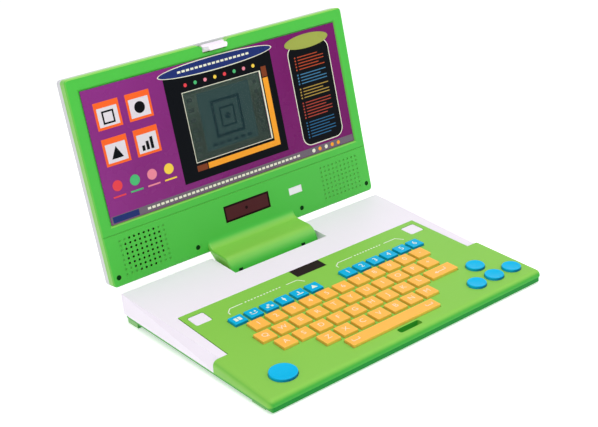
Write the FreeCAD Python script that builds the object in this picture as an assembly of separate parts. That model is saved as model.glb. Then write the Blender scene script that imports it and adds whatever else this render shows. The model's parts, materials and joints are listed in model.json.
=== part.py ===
import FreeCAD, Part
import math
import os

# Toy laptop computer with a lift-out keyboard. Everything is modelled in the deck frame, in mm:
# X across, Y from the front edge to the rear, Z up from the flat deck that holds the keys.
# The lid has a frame of its own, X across, Y from its face to its back, Z up its face.

# Overall plan. Keys and screws have their places as shares of the base's half width and of its
# depth. Pieces along an edge keep their distance from that edge.
base_half = 152.5
base_depth = 227.0
rail_width = 15.5
rail_bevel = 6.5
rail_bevel_depth = 9.0
cover_half = base_half
keyboard_rear_half = base_half - rail_width
keyboard_step_y = 0.3436 * base_depth
keyboard_rear_y = 0.6828 * base_depth

# Base thickness: a wedge, parted into upper shells and a bottom tray
front_parting = 6.2
parting_slope = 0.0665
tray_height = 4.5
tray_inset = 0.5
tray_wall = 3.0
tray_floor = 2.0
tray_side_chamfer = 2.2
wall = 2.0
plate = 2.2
corner_radius = 4.5
front_edge_radius = 5.0
small_edge_radius = 1.0
fit_gap = 0.35
seat_gap = 0.1

# Feet and the table under them
front_drop = 12.5
table_slope = 0.0836
foot_half_width = 12.0
foot_length = 18.0
foot_inset = 15.0
foot_x = base_half - foot_inset
front_foot_y = 20.0
rear_foot_inset = 9.6
rear_foot_y = base_depth - rear_foot_inset

# Keys
key_rise = 2.5
key_travel = 1.2
key_gap = 0.35
key_flange = 0.8
key_flange_height = 0.8
key_flange_drop = 0.2
key_corner = 0.8
key_edge = 0.5
button_edge = 0.9
button_rim = 1.2
button_dish = 0.7
letter_pitch = 0.1216 * base_half
letter_width = 0.82 * letter_pitch
letter_depth = 0.0661 * base_depth
letter_row_shares = [(-0.6072, 0.4269, 11), (-0.6538, 0.3427, 11), (-0.6046, 0.2595, 9), (-0.4111, 0.1762, 7)]
enter_x = 0.5442 * base_half
enter_width = 0.2033 * base_half
enter_depth = 0.0617 * base_depth
enter_y = 0.2595 * base_depth
space_x = -0.0472 * base_half
space_y = 0.0969 * base_depth
space_width = 0.6393 * base_half
space_depth = 0.0551 * base_depth
small_pitch = 0.1079 * base_half
small_width = 0.814 * small_pitch
small_depth = 0.0573 * base_depth
small_y = 0.5031 * base_depth
small_count = 6
function_x = -0.6689 * base_half
number_x = 0.1331 * base_half
action_x = -0.7915 * base_half
action_y = 0.111 * base_depth
action_radius = 12.0
arrow_radius = 8.75
arrow_y = 0.0947 * base_depth
arrow_up_y = 0.1982 * base_depth
arrow_x = 0.7429 * base_half
arrow_spacing = 0.1443 * base_half

# Keyboard inside
mat_thickness = 0.5
mat_gap = 0.1
board_thickness = 0.8
board_left_inset = 16.5
board_left = board_left_inset - base_half
board_right_inset = 7.5
board_right = base_half - board_right_inset
board_rear_inset = 5.0
board_rear_half = keyboard_rear_half - board_rear_inset
board_front_y = 19.5
board_step_y = 0.2511 * base_depth
board_rear_y = 0.5463 * base_depth
bottom_plate = 1.5
board_post_radius = 2.5
board_post_x = 0.6229 * base_half
board_post_inset = 3.0
board_post_y = board_rear_y - board_post_inset
keyboard_post_radius = 2.8
side_post_inset = 10.0
side_post_x = base_half - side_post_inset
side_post_setback = 12.0
side_post_y = keyboard_step_y - side_post_setback
front_post_x = 0.4918 * base_half
front_post_y = 9.5
rear_post_x = 0.3934 * base_half
rear_post_setback = 24.0
rear_post_y = keyboard_rear_y - rear_post_setback
emitter_half = 17.0
emitter_length = 14.0
emitter_front_y = keyboard_rear_y - emitter_length
emitter_lip = 1.0
emitter_rear_drop = 3.2
led_width = 8.0
led_depth = 5.0
led_height = 4.0
led_setback = 8.0
led_y = keyboard_rear_y - led_setback
led_gap = 0.3
cell_radius = 10.0
cell_thickness = 3.2
cell_x = 0.5246 * base_half
cell_setback = 19.0
cell_y = keyboard_rear_y - cell_setback
cell_top = -6.5
cell_wall = 1.2
cell_gap = 0.2
post_inset = 13.0
post_x = keyboard_rear_half - post_inset
post_setback = 14.5
post_y = keyboard_rear_y - post_setback
post_size = 16.0
post_corner = 1.8
slot_half = 12.3
slot_front_y = 6.6
slot_rear_y = 13.0
slot_corner = 2.0
slot_wall = 1.2

# Hinge
hinge_setback = 11.5
hinge_y = base_depth - hinge_setback
hinge_z = -11.0
notch_half = 54.0
notch_depth = 39.9
notch_front_y = base_depth - notch_depth
hood_side_gap = 2.5
hood_half = notch_half - hood_side_gap
hood_cheek = 2.5
hood_radius = 19.0
hood_skin = 2.2
hood_top_z = 6.5
hood_blend = 10.0
hood_crease = 12.0
hood_end_radius = 2.0
hood_lead_deg = 178.0
hub_radius = 6.0
pin_radius = 2.0
pin_reach = 7.0
pin_inner = notch_half - pin_reach
pin_outer = notch_half + pin_reach
pin_clearance = 0.05
pin_boss_radius = 4.5
washer_radius = 4.5
washer_gap = 0.1

# Lid
lid_lean_deg = 12.6
lid_setback = 7.0
lid_foot_y = base_depth + lid_setback
lid_foot_z = 2.6
lid_overhang = 2.1
lid_half = base_half + lid_overhang
lid_short = 34.3
lid_height = base_depth - lid_short
bezel_depth = 9.0
lid_depth = 19.5
lid_corner = 4.0
bezel_chamfer = 1.2
back_edge_radius = 4.0
panel_side = 12.2
panel_half = lid_half - panel_side
panel_low = 56.5
panel_top = 12.7
panel_high = lid_height - panel_top
panel_recess = 1.5
panel_bevel = 2.0
panel_backing = 2.1
panel_sheet = 1.0
panel_gap = 0.15
groove_v = 48.0
groove_width = 1.0
groove_depth = 0.6
lcd_half = 43.5
lcd_below = 30.3
lcd_low = panel_low + lcd_below
lcd_above = 26.7
lcd_high = panel_high - lcd_above
lcd_margin = 3.0
lcd_glass_depth = 2.5
main_board_half = 58.0
main_board_margin = 14.0
main_board_thickness = 1.6
receiver_half = 26.7
receiver_low = 21.0
receiver_high = 37.6
window_set_back = 0.3
window_flange = 1.5
window_flange_depth = 0.8
receiver_size = 8.0
receiver_depth = 3.0
lens_left = 50.7
lens_right = 66.8
lens_low = 24.9
lens_high = 32.3
grille_inset = 38.4
grille_centre = lid_half - grille_inset
grille_v = 24.9
grille_pitch_x = 5.1
grille_pitch_z = 4.6
grille_columns = 10
grille_rows = [6, 8, 8, 8, 8, 8, 6, 4]
grille_hole = 1.15
dimple_depth = 0.5
speaker_radius = 15.5
speaker_rim = 2.5
speaker_rim_depth = 3.0
speaker_back = 1.0
speaker_magnet_radius = 8.0
speaker_magnet_depth = 4.0
cone_small_radius = 4.0
cone_gap = 0.3
lid_screw_v = 8.5
inner_screw_u = 62.3
outer_screw_inset = 6.7
outer_screw_u = lid_half - outer_screw_inset
lid_screw_head = 2.4
lid_screw_shank = 1.0
lid_screw_sink = 0.4
lid_screw_head_depth = 1.0
lid_screw_length = 7.0
lid_boss_radius = 2.0

# Latch
latch_half = 12.5
latch_side_gap = 0.7
latch_drop = 7.7
latch_low = lid_height - latch_drop
latch_top_gap = 1.3
latch_high = lid_height - latch_top_gap
latch_front = 1.0
latch_back = 5.2
latch_floor_gap = 1.0
latch_flare_drop = 3.1
latch_flare_v = lid_height - latch_flare_drop
latch_flare_half = 21.0
latch_block_half = 27.0
latch_block_drop = 11.7
latch_block_low = lid_height - latch_block_drop
latch_pin_drop = 4.3
latch_pin_v = lid_height - latch_pin_drop
latch_pin_depth = 3.5
latch_pin_radius = 1.0
latch_pin_end = 18.0
latch_arm_drop = 5.5
latch_arm_low = lid_height - latch_arm_drop
latch_arm_top = 3.0
latch_arm_high = lid_height - latch_arm_top
latch_reach = 8.0
latch_taper = 2.2
latch_taper_start = 2.0
latch_lip = 1.4
latch_lip_inset = 3.0
latch_lip_depth = 1.6

# Battery bay in the right of the base
battery_radius = 7.2
battery_length = 50.0
battery_x = 0.6426 * base_half
battery_setback = 55.0
battery_first_y = base_depth - battery_setback
battery_pitch = 15.0
battery_count = 3
battery_rest = 0.2
bay_margin = 1.0
door_gap = 0.3
contact_thickness = 0.8
contact_reach = 1.6
contact_radius = 3.0
contact_height = 12.0

# Base screws, in the side rails of the rear cover
rail_screw_inset = 8.5
rail_screw_x = base_half - rail_screw_inset
rail_screw_shares = [0.4053, 0.6167, 0.8458]
rail_post_radius = 3.0
base_screw_head = 2.3
base_screw_head_depth = 1.4
base_screw_sink = 0.4
base_screw_shank = 1.2
base_screw_length = 13.0
screw_gap = 0.05

far = 400.0
tolerance = 1e-4
X_AXIS = FreeCAD.Vector(1, 0, 0)
Y_AXIS = FreeCAD.Vector(0, 1, 0)
Z_AXIS = FreeCAD.Vector(0, 0, 1)


def box(x0, x1, y0, y1, z0, z1):
    return Part.makeBox(x1 - x0, y1 - y0, z1 - z0, FreeCAD.Vector(x0, y0, z0))


def plan(points, z0, z1):
    """A prism on an outline in X and Y."""
    wire = Part.makePolygon([FreeCAD.Vector(x, y, z0) for x, y in points + points[:1]])
    return Part.Face(wire).extrude(FreeCAD.Vector(0, 0, z1 - z0))


def side(points, x0, x1):
    """A prism across X on an outline in Y and Z."""
    wire = Part.makePolygon([FreeCAD.Vector(x0, y, z) for y, z in points + points[:1]])
    return Part.Face(wire).extrude(FreeCAD.Vector(x1 - x0, 0, 0))


def rod_x(radius, x0, x1, y, z):
    return Part.makeCylinder(radius, x1 - x0, FreeCAD.Vector(x0, y, z), X_AXIS)


def rod_y(radius, y0, y1, x, z):
    return Part.makeCylinder(radius, y1 - y0, FreeCAD.Vector(x, y0, z), Y_AXIS)


def rod_z(radius, z0, z1, x, y):
    return Part.makeCylinder(radius, z1 - z0, FreeCAD.Vector(x, y, z0), Z_AXIS)


def inset(points, amount):
    """An outline, listed anticlockwise, moved inwards by the same amount on every edge."""
    moved = []
    for (x0, y0), (x1, y1), (x2, y2) in zip(points[-1:] + points[:-1], points, points[1:] + points[:1]):
        before = FreeCAD.Vector(x1 - x0, y1 - y0, 0).normalize()
        after = FreeCAD.Vector(x2 - x1, y2 - y1, 0).normalize()
        turn = before.cross(after).z
        corner = FreeCAD.Vector(x1, y1, 0) + (after - before) * (amount / turn)
        moved.append((corner.x, corner.y))
    return moved


def upright_edges(shape):
    return [e for e in shape.Edges if e.BoundBox.ZLength > 1.0 and e.BoundBox.XLength < tolerance
            and e.BoundBox.YLength < tolerance]


def level_edges(shape, z):
    return [e for e in shape.Edges if max(abs(e.BoundBox.ZMin - z), abs(e.BoundBox.ZMax - z)) < tolerance]


def parting(y):
    return -(front_parting + parting_slope * y)


def tray_bottom(y):
    return parting(y) - tray_height


def tray_inside(y):
    return tray_bottom(y) + tray_floor


def table(y):
    return -(front_drop + table_slope * y)


def between(y0, y1, low, high, x0, x1):
    """A slab across X between two sloping planes, given as functions of Y."""
    return side([(y0, low(y0)), (y1, low(y1)), (y1, high(y1)), (y0, high(y0))], x0, x1)


def above(shape, level):
    """What of a shape lies above a sloping plane."""
    return shape.common(between(-far, far, level, lambda y: level(y) + far, -far, far))


def rail_screw_spots():
    return [(x, y) for x in (-rail_screw_x, rail_screw_x)
            for y in (share * base_depth for share in rail_screw_shares)]


def battery_spots():
    return [battery_first_y + battery_pitch * i for i in range(battery_count)]


def bay_limits():
    half = battery_length / 2 + bay_margin
    ys = battery_spots()
    reach = battery_radius + bay_margin
    return battery_x - half, battery_x + half, ys[0] - reach, ys[-1] + reach


def tray_side(x, inwards):
    """The corner under one side of the tray that a chamfer takes off."""
    ends = []
    for y in (-far, far):
        low = tray_bottom(y)
        corners = [(x, low), (x + inwards, low), (x, low + tray_side_chamfer)]
        ends.append(Part.makePolygon([FreeCAD.Vector(a, y, b) for a, b in corners + corners[:1]]))
    return Part.makeLoft(ends, True, True)


def bottom_tray():
    half = base_half - tray_inset
    y0 = tray_inset
    y1 = base_depth - tray_inset
    outer = between(y0, y1, tray_bottom, parting, -half, half)
    outer = outer.makeFillet(corner_radius, upright_edges(outer))
    for sign in (-1, 1):
        outer = outer.cut(tray_side(sign * half, -sign * tray_side_chamfer))
    inside = half - tray_wall
    hollow = between(y0 + tray_wall, y1 - tray_wall, tray_inside, lambda y: parting(y) + 1, -inside, inside)
    keep = notch_half + tray_wall
    hollow = hollow.cut(box(-keep, keep, notch_front_y - tray_wall, far, -far, far))
    tray = outer.cut(hollow).cut(box(-notch_half, notch_half, notch_front_y, far, -far, far))
    for x, y in rail_screw_spots():
        post = rod_z(rail_post_radius, tray_inside(y) - wall / 2, parting(y), x, y)
        tray = tray.fuse(post.cut(above(post, parting)))
    for x, y in rail_screw_spots():
        seat = tray_bottom(y) + base_screw_sink + base_screw_head_depth
        tray = tray.cut(rod_z(base_screw_head + screw_gap, tray_bottom(y) - wall, seat, x, y))
        tray = tray.cut(rod_z(base_screw_shank + screw_gap, seat - wall, 0, x, y))
    x0, x1, low_y, high_y = bay_limits()
    return tray.cut(box(x0, x1, low_y, high_y, -far, far)).removeSplitter()


def cover_outline():
    inner_half = keyboard_rear_half + fit_gap
    inner_y = keyboard_rear_y + fit_gap
    front = keyboard_step_y + fit_gap
    return [(-cover_half, front), (-inner_half, front), (-inner_half, inner_y), (inner_half, inner_y),
            (inner_half, front), (cover_half, front), (cover_half, base_depth), (-cover_half, base_depth)]


def rail_bevel_cut(sign, inwards):
    """All that lies outside the bevel of one side rail, which is widest in front and runs out behind."""
    run = rail_bevel / (base_depth - keyboard_step_y)
    lean = rail_bevel / rail_bevel_depth
    ends = []
    for y in (-far, far):
        edge = cover_half - rail_bevel + run * (y - keyboard_step_y) - inwards
        corners = [(edge - lean * far, far), (edge + lean * far, -far), (edge + 3 * far, far)]
        ends.append(Part.makePolygon([FreeCAD.Vector(sign * x, y, z) for x, z in corners + corners[:1]]))
    return Part.makeLoft(ends, True, True)


def rear_cover():
    outer = above(plan(cover_outline(), -far, 0), parting)
    outer = outer.makeFillet(small_edge_radius, level_edges(outer, 0))
    hollow = plan(inset(cover_outline(), wall), -far, -wall)
    for sign in (-1, 1):
        outer = outer.cut(rail_bevel_cut(sign, 0))
        hollow = hollow.cut(rail_bevel_cut(sign, 2 * wall))
    keep = notch_half + wall
    hollow = hollow.cut(box(-keep, keep, notch_front_y - wall, far, -far, far))
    cover = outer.cut(hollow).cut(box(-notch_half, notch_half, notch_front_y, far, -far, far))
    for sign in (-1, 1):
        ends = sorted((sign * (notch_half + wall / 2), sign * pin_outer))
        cover = cover.fuse(rod_x(pin_boss_radius, ends[0], ends[1], hinge_y, hinge_z))
    for x, y in rail_screw_spots():
        cover = cover.fuse(above(rod_z(rail_post_radius, -far, -wall / 2, x, y), parting))
    for x, y in rail_screw_spots():
        tip = tray_bottom(y) + base_screw_sink + base_screw_length + fit_gap
        cover = cover.cut(rod_z(base_screw_shank + screw_gap, -far, tip, x, y))
    return cover.cut(rod_x(pin_radius, -pin_outer, pin_outer, hinge_y, hinge_z)).removeSplitter()


def post_block(x, grow, z0, z1):
    """One locating post with round corners, made larger all round for the hole about it."""
    half = post_size / 2 + grow
    block = box(x - half, x + half, post_y - half, post_y + half, z0, z1)
    return block.makeFillet(post_corner + grow, upright_edges(block))


def locating_posts():
    posts = []
    for x in (-post_x, post_x):
        post = above(post_block(x, 0, -far, 0), tray_inside)
        posts.append(post.makeFillet(small_edge_radius / 2, level_edges(post, 0)))
    return Part.makeCompound(posts)


def hinge_pins():
    return Part.makeCompound([rod_x(pin_radius, *sorted((s * pin_inner, s * pin_outer)), hinge_y, hinge_z)
                              for s in (-1, 1)])


def hinge_washers():
    rings = []
    for sign in (-1, 1):
        ends = sorted((sign * (hood_half + washer_gap), sign * notch_half))
        ring = rod_x(washer_radius, ends[0], ends[1], hinge_y, hinge_z)
        rings.append(ring.cut(rod_x(pin_radius + pin_clearance, ends[0], ends[1], hinge_y, hinge_z)))
    return Part.makeCompound(rings)


def battery_door():
    x0, x1, y0, y1 = bay_limits()
    return between(y0 + door_gap, y1 - door_gap, tray_bottom, tray_inside, x0 + door_gap, x1 - door_gap)


def battery_height(y):
    return tray_inside(y + battery_radius) + battery_rest + battery_radius + parting_slope * battery_radius


def battery_cells():
    half = battery_length / 2
    return Part.makeCompound([rod_x(battery_radius, battery_x - half, battery_x + half, y, battery_height(y))
                              for y in battery_spots()])


def battery_contacts():
    x0, x1, y0, y1 = bay_limits()
    plates = []
    for edge, sign in ((x0, -1), (x1, 1)):
        near = edge + sign * (contact_reach - bay_margin)
        faces = sorted((near, near + sign * contact_thickness))
        strip = between(y0, y1, tray_inside, lambda y: tray_inside(y) + contact_height, *faces)
        bump = sorted((edge - sign * bay_margin, near + sign * contact_thickness / 2))
        for y in battery_spots():
            strip = strip.fuse(rod_x(contact_radius, *bump, y, battery_height(y)))
        plates.append(strip.removeSplitter())
    return Part.makeCompound(plates)


def base_screws():
    screws = []
    for x, y in rail_screw_spots():
        low = tray_bottom(y) + base_screw_sink
        head = rod_z(base_screw_head, low, low + base_screw_head_depth, x, y)
        screws.append(head.fuse(rod_z(base_screw_shank, low, low + base_screw_length, x, y)).removeSplitter())
    return Part.makeCompound(screws)


def feet(y):
    y0 = y - foot_length / 2
    y1 = y + foot_length / 2
    return Part.makeCompound([between(y0, y1, table, tray_bottom, x - foot_half_width, x + foot_half_width)
                              for x in (-foot_x, foot_x)])


def key_low():
    return -plate - key_flange_drop - key_flange_height


def key_shape(x, y, width, depth):
    """A moulded key cap with a catch along its two sides, below the deck plate."""
    low = key_low()
    cap = box(x - width / 2, x + width / 2, y - depth / 2, y + depth / 2, low, key_rise)
    cap = cap.makeFillet(key_corner, upright_edges(cap))
    cap = cap.makeFillet(key_edge, level_edges(cap, key_rise))
    reach = width / 2 + key_gap + key_flange
    inner = depth / 2 - key_corner
    catch = box(x - reach, x + reach, y - inner, y + inner, low, low + key_flange_height)
    return cap.fuse(catch).removeSplitter()


def round_key(x, y, radius):
    low = key_low()
    cap = rod_z(radius, low, key_rise, x, y)
    cap = cap.makeFillet(button_edge, level_edges(cap, key_rise))
    hollow = radius - button_rim
    ball = (hollow ** 2 + button_dish ** 2) / (2 * button_dish)
    cap = cap.cut(Part.makeSphere(ball, FreeCAD.Vector(x, y, key_rise - button_dish + ball)))
    return cap.fuse(rod_z(radius + key_gap + key_flange, low, low + key_flange_height, x, y)).removeSplitter()


def key_places():
    """Every square key by name: centre, width and depth."""
    places = {}
    for number, (x_share, y_share, count) in enumerate(letter_row_shares, 1):
        x = x_share * base_half
        y = y_share * base_depth
        row = [(x + letter_pitch * i, y, letter_width, letter_depth) for i in range(count)]
        places["letter_row_%d" % number] = row
    for name, x in (("function_key", function_x), ("number_key", number_x)):
        for i in range(small_count):
            places["%s_%d" % (name, i + 1)] = [(x + small_pitch * i, small_y, small_width, small_depth)]
    places["enter_key"] = [(enter_x, enter_y, enter_width, enter_depth)]
    places["space_bar"] = [(space_x, space_y, space_width, space_depth)]
    return places


def button_places():
    return {"action_button": (action_x, action_y, action_radius),
            "arrow_up": (arrow_x, arrow_up_y, arrow_radius),
            "arrow_left": (arrow_x - arrow_spacing, arrow_y, arrow_radius),
            "arrow_down": (arrow_x, arrow_y, arrow_radius),
            "arrow_right": (arrow_x + arrow_spacing, arrow_y, arrow_radius)}


def keyboard_outline():
    return [(-base_half, 0), (base_half, 0), (base_half, keyboard_step_y),
            (keyboard_rear_half, keyboard_step_y), (keyboard_rear_half, keyboard_rear_y),
            (-keyboard_rear_half, keyboard_rear_y), (-keyboard_rear_half, keyboard_step_y),
            (-base_half, keyboard_step_y)]


def board_posts():
    return [(x, board_post_y) for x in (-board_post_x, 0, board_post_x)]


def keyboard_posts():
    """The posts that take the keyboard's screws, in pairs left and right."""
    pairs = [(side_post_x, side_post_y), (front_post_x, front_post_y), (rear_post_x, rear_post_y)]
    return [(sign * x, y) for x, y in pairs for sign in (-1, 1)]


def keyboard_seat(y):
    return parting(y) + seat_gap


def keyboard_floor(y):
    return keyboard_seat(y) + bottom_plate


def latch_slot(grow, z0, z1):
    """The slot for the latch, with round corners, made larger all round for the wall about it."""
    half = slot_half + grow
    slot = box(-half, half, slot_front_y - grow, slot_rear_y + grow, z0, z1)
    return slot.makeFillet(slot_corner + grow, upright_edges(slot))


def keyboard_top():
    outer = above(plan(keyboard_outline(), -far, 0), keyboard_seat)
    corners = [e for e in upright_edges(outer) if e.BoundBox.YMax < tolerance]
    outer = outer.makeFillet(corner_radius, corners)
    rim = [e for e in level_edges(outer, 0) if e.BoundBox.YMax < keyboard_step_y + tolerance
           and e.BoundBox.YMin < keyboard_step_y - tolerance]
    outer = outer.makeFillet(front_edge_radius, rim)
    hollow = plan(inset(keyboard_outline(), wall), -far, -plate)
    front_fill = box(-far, far, -far, wall + front_edge_radius, -far, far)
    rounded = plan(inset(keyboard_outline(), wall + front_edge_radius), -far, -plate)
    hollow = hollow.cut(front_fill).fuse(rounded)
    shell = outer.cut(hollow)
    for x, y in keyboard_posts():
        shell = shell.fuse(above(rod_z(keyboard_post_radius, -far, -plate / 2, x, y), keyboard_floor))
    shell = shell.fuse(above(latch_slot(slot_wall, -far, -plate / 2), keyboard_floor))
    cuts = []
    for places in key_places().values():
        for x, y, width, depth in places:
            half_x = width / 2 + key_gap
            half_y = depth / 2 + key_gap
            cuts.append(box(x - half_x, x + half_x, y - half_y, y + half_y, -plate - 1, 1))
    for x, y, radius in button_places().values():
        cuts.append(rod_z(radius + key_gap, -plate - 1, 1, x, y))
    for x in (-post_x, post_x):
        cuts.append(post_block(x, fit_gap, -plate - 1, 1))
    cuts.append(box(-emitter_half, emitter_half, emitter_front_y, far, -emitter_rear_drop, 1))
    cuts.append(latch_slot(0, -far, 1))
    for x, y in keyboard_posts():
        cuts.append(rod_z(lid_screw_shank + screw_gap, -far, -plate, x, y))
    return shell.cut(cuts).removeSplitter()


def keyboard_bottom():
    outline = inset(keyboard_outline(), wall + fit_gap)
    sheet = above(plan(outline, -far, 0), keyboard_seat)
    sheet = sheet.cut(above(sheet, keyboard_floor))
    sheet = sheet.cut(box(-far, far, -far, wall + front_edge_radius + fit_gap, -far, far))
    board_low = mat_top() - mat_thickness - board_thickness
    for x, y in board_posts():
        sheet = sheet.fuse(above(rod_z(board_post_radius, -far, board_low, x, y), keyboard_seat))
    led_front = led_y - led_depth / 2
    led_post = box(-led_width / 2, led_width / 2, led_front, led_front + led_depth, -far, led_seat())
    sheet = sheet.fuse(above(led_post, keyboard_seat))
    for x in (-cell_x, cell_x):
        cup = rod_z(cell_radius + cell_gap + cell_wall, -far, cell_top, x, cell_y)
        sheet = sheet.fuse(above(cup, keyboard_seat))
        sheet = sheet.cut(rod_z(cell_radius + cell_gap, cell_top - cell_thickness, 0, x, cell_y))
    for x in (-post_x, post_x):
        sheet = sheet.cut(post_block(x, 2 * fit_gap, -far, far))
    for x, y in keyboard_posts():
        sheet = sheet.cut(rod_z(lid_screw_shank + screw_gap, -far, far, x, y))
        head_top = keyboard_seat(y) + lid_screw_head_depth
        sheet = sheet.cut(rod_z(lid_screw_head + screw_gap, -far, head_top, x, y))
    return sheet.removeSplitter()


def led_seat():
    return -emitter_rear_drop - led_gap - led_height


def board_outline():
    return [(board_left, board_front_y), (board_right, board_front_y), (board_right, board_step_y),
            (board_rear_half, board_step_y), (board_rear_half, board_rear_y),
            (-board_rear_half, board_rear_y), (-board_rear_half, board_step_y), (board_left, board_step_y)]


def mat_top():
    return key_low() - key_travel - mat_gap


def key_mat():
    return plan(board_outline(), mat_top() - mat_thickness, mat_top())


def keyboard_board():
    high = mat_top() - mat_thickness
    return plan(board_outline(), high - board_thickness, high)


def ir_emitter_window():
    half = emitter_half - panel_gap
    pane = box(-half, half, emitter_front_y + panel_gap, keyboard_rear_y, -plate, -panel_gap)
    lip = box(-half, half, keyboard_rear_y - wall, keyboard_rear_y, panel_gap - emitter_rear_drop, -plate)
    reach = half + emitter_lip
    flange = box(-reach, reach, emitter_front_y - emitter_lip, keyboard_rear_y - wall - fit_gap,
                 -emitter_rear_drop, -plate)
    return pane.fuse([lip, flange]).removeSplitter()


def ir_emitter():
    low = led_seat()
    y0 = led_y - led_depth / 2
    body = box(-led_width / 2, led_width / 2, y0, led_y + led_depth / 2, low, low + led_height)
    return body.makeFillet(small_edge_radius, level_edges(body, low + led_height))


def keyboard_cells():
    return Part.makeCompound([rod_z(cell_radius, cell_top - cell_thickness, cell_top, x, cell_y)
                              for x in (-cell_x, cell_x)])


def keyboard_screws():
    screws = []
    for x, y in keyboard_posts():
        low = keyboard_seat(y)
        head = rod_z(lid_screw_head, low + seat_gap, low + lid_screw_head_depth, x, y)
        shank = rod_z(lid_screw_shank, low + seat_gap, -plate - fit_gap, x, y)
        screws.append(head.fuse(shank).removeSplitter())
    return Part.makeCompound(screws)


def lid_block(y0, y1):
    """The lid's outline between two depths, with its rounded corners."""
    block = box(-lid_half, lid_half, y0, y1, 0, lid_height)
    edges = [e for e in block.Edges if abs(e.Vertexes[0].Y - e.Vertexes[-1].Y) > tolerance]
    return block.makeFillet(lid_corner, edges)


def depth_edges(shape, y):
    return [e for e in shape.Edges if max(abs(e.BoundBox.YMin - y), abs(e.BoundBox.YMax - y)) < tolerance]


def panel_hollow():
    """The bevelled recess that the printed panel lies in."""
    wires = []
    for grow, y in ((panel_bevel, 0), (0, panel_recess)):
        half = panel_half + grow
        corners = [(-half, panel_low - grow), (half, panel_low - grow), (half, panel_high + grow),
                   (-half, panel_high + grow)]
        wires.append(Part.makePolygon([FreeCAD.Vector(u, y, v) for u, v in corners + corners[:1]]))
    return Part.makeLoft(wires, True, True)


def grille_holes(sign, dimples):
    """One grille's holes. A row's outer places are dimples, and all of a dimpled grille's are."""
    holes = []
    rows = len(grille_rows)
    for row, through in enumerate(grille_rows):
        v = grille_v + grille_pitch_z * ((rows - 1) / 2 - row)
        blind = (grille_columns - through) // 2
        for column in range(grille_columns):
            u = sign * grille_centre + grille_pitch_x * (column - (grille_columns - 1) / 2)
            open_hole = not dimples and blind <= column < grille_columns - blind
            depth = plate + 1 if open_hole else dimple_depth
            holes.append(rod_y(grille_hole, -1, depth, u, v))
    return holes


def lid_screw_places():
    return [(sign * u, lid_screw_v) for sign in (-1, 1) for u in (inner_screw_u, outer_screw_u)]


def latch_room():
    """The notch in the bezel's top edge that the latch turns in."""
    low = latch_low - latch_floor_gap
    half = latch_half + latch_side_gap
    points = [(-half, low), (half, low), (half, latch_flare_v), (latch_flare_half, lid_height + 1),
              (-latch_flare_half, lid_height + 1), (-half, latch_flare_v)]
    wire = Part.makePolygon([FreeCAD.Vector(u, -1, v) for u, v in points + points[:1]])
    return Part.Face(wire).extrude(FreeCAD.Vector(0, bezel_depth + 2, 0))


def lid_bezel():
    block = lid_block(0, bezel_depth)
    block = block.makeChamfer(bezel_chamfer, depth_edges(block, 0))
    hollow = box(wall - lid_half, lid_half - wall, plate, far, wall, lid_height - wall)
    backing = panel_recess + panel_backing
    rim = panel_bevel + wall
    keep = panel_half + rim
    hollow = hollow.cut(box(-keep, keep, 0, backing, panel_low - rim, panel_high + rim))
    hollow = hollow.cut(box(-latch_block_half, latch_block_half, 0, far, latch_block_low, far))
    bezel = block.cut(hollow).cut(panel_hollow())
    open_half = lcd_half + lcd_margin
    cuts = [box(-open_half, open_half, 0, far, lcd_low - lcd_margin, lcd_high + lcd_margin)]
    cuts.append(box(-receiver_half, receiver_half, -1, far, receiver_low, receiver_high))
    cuts.append(box(lens_left, lens_right, -1, far, lens_low, lens_high))
    cuts.append(box(-far, far, -1, groove_depth, groove_v - groove_width / 2, groove_v + groove_width / 2))
    cuts += grille_holes(-1, False) + grille_holes(1, True)
    for u, v in lid_screw_places():
        cuts.append(rod_y(lid_screw_head + screw_gap, -1, lid_screw_sink + lid_screw_head_depth, u, v))
        cuts.append(rod_y(lid_screw_shank + screw_gap, -1, far, u, v))
    cuts.append(latch_room())
    cuts.append(rod_x(latch_pin_radius, -latch_pin_end, latch_pin_end, latch_pin_depth, latch_pin_v))
    return bezel.cut(cuts).removeSplitter()


def lid_back():
    block = lid_block(bezel_depth, lid_depth)
    block = block.makeFillet(back_edge_radius, depth_edges(block, lid_depth))
    hollow = box(wall - lid_half, lid_half - wall, 0, lid_depth - wall, wall, lid_height - wall)
    hollow = hollow.makeFillet(back_edge_radius - wall, depth_edges(hollow, lid_depth - wall))
    back = block.cut(hollow)
    tip = lid_screw_sink + lid_screw_length + fit_gap
    for u, v in lid_screw_places():
        back = back.fuse(rod_y(lid_boss_radius, plate, lid_depth - wall / 2, u, v))
        back = back.cut(rod_y(lid_screw_shank + screw_gap, 0, tip, u, v))
    return back.removeSplitter()


def art_panel():
    half = panel_half - panel_gap
    front = panel_recess - panel_sheet
    sheet = box(-half, half, front, panel_recess, panel_low + panel_gap, panel_high - panel_gap)
    return sheet.cut(box(-lcd_half, lcd_half, -1, far, lcd_low, lcd_high))


def lcd_window():
    half = lcd_half - panel_gap
    front = panel_recess - panel_sheet
    return box(-half, half, front, panel_recess, lcd_low + panel_gap, lcd_high - panel_gap)


def lcd_glass():
    half = lcd_half + lcd_margin - panel_gap
    low = lcd_low - lcd_margin + panel_gap
    high = lcd_high + lcd_margin - panel_gap
    return box(-half, half, panel_recess, panel_recess + lcd_glass_depth, low, high)


def main_board():
    front = panel_recess + lcd_glass_depth
    return box(-main_board_half, main_board_half, front, front + main_board_thickness,
               lcd_low - main_board_margin, lcd_high + main_board_margin)


def speaker_frame():
    rim = rod_y(speaker_radius, plate, plate + speaker_rim_depth, -grille_centre, grille_v)
    rim = rim.cut(rod_y(speaker_radius - speaker_rim, 0, far, -grille_centre, grille_v))
    back_y = plate + speaker_rim_depth
    dish = rod_y(speaker_radius, back_y, back_y + speaker_back, -grille_centre, grille_v)
    end = back_y + speaker_back + speaker_magnet_depth
    magnet = rod_y(speaker_magnet_radius, back_y, end, -grille_centre, grille_v)
    return rim.fuse([dish, magnet]).removeSplitter()


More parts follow.
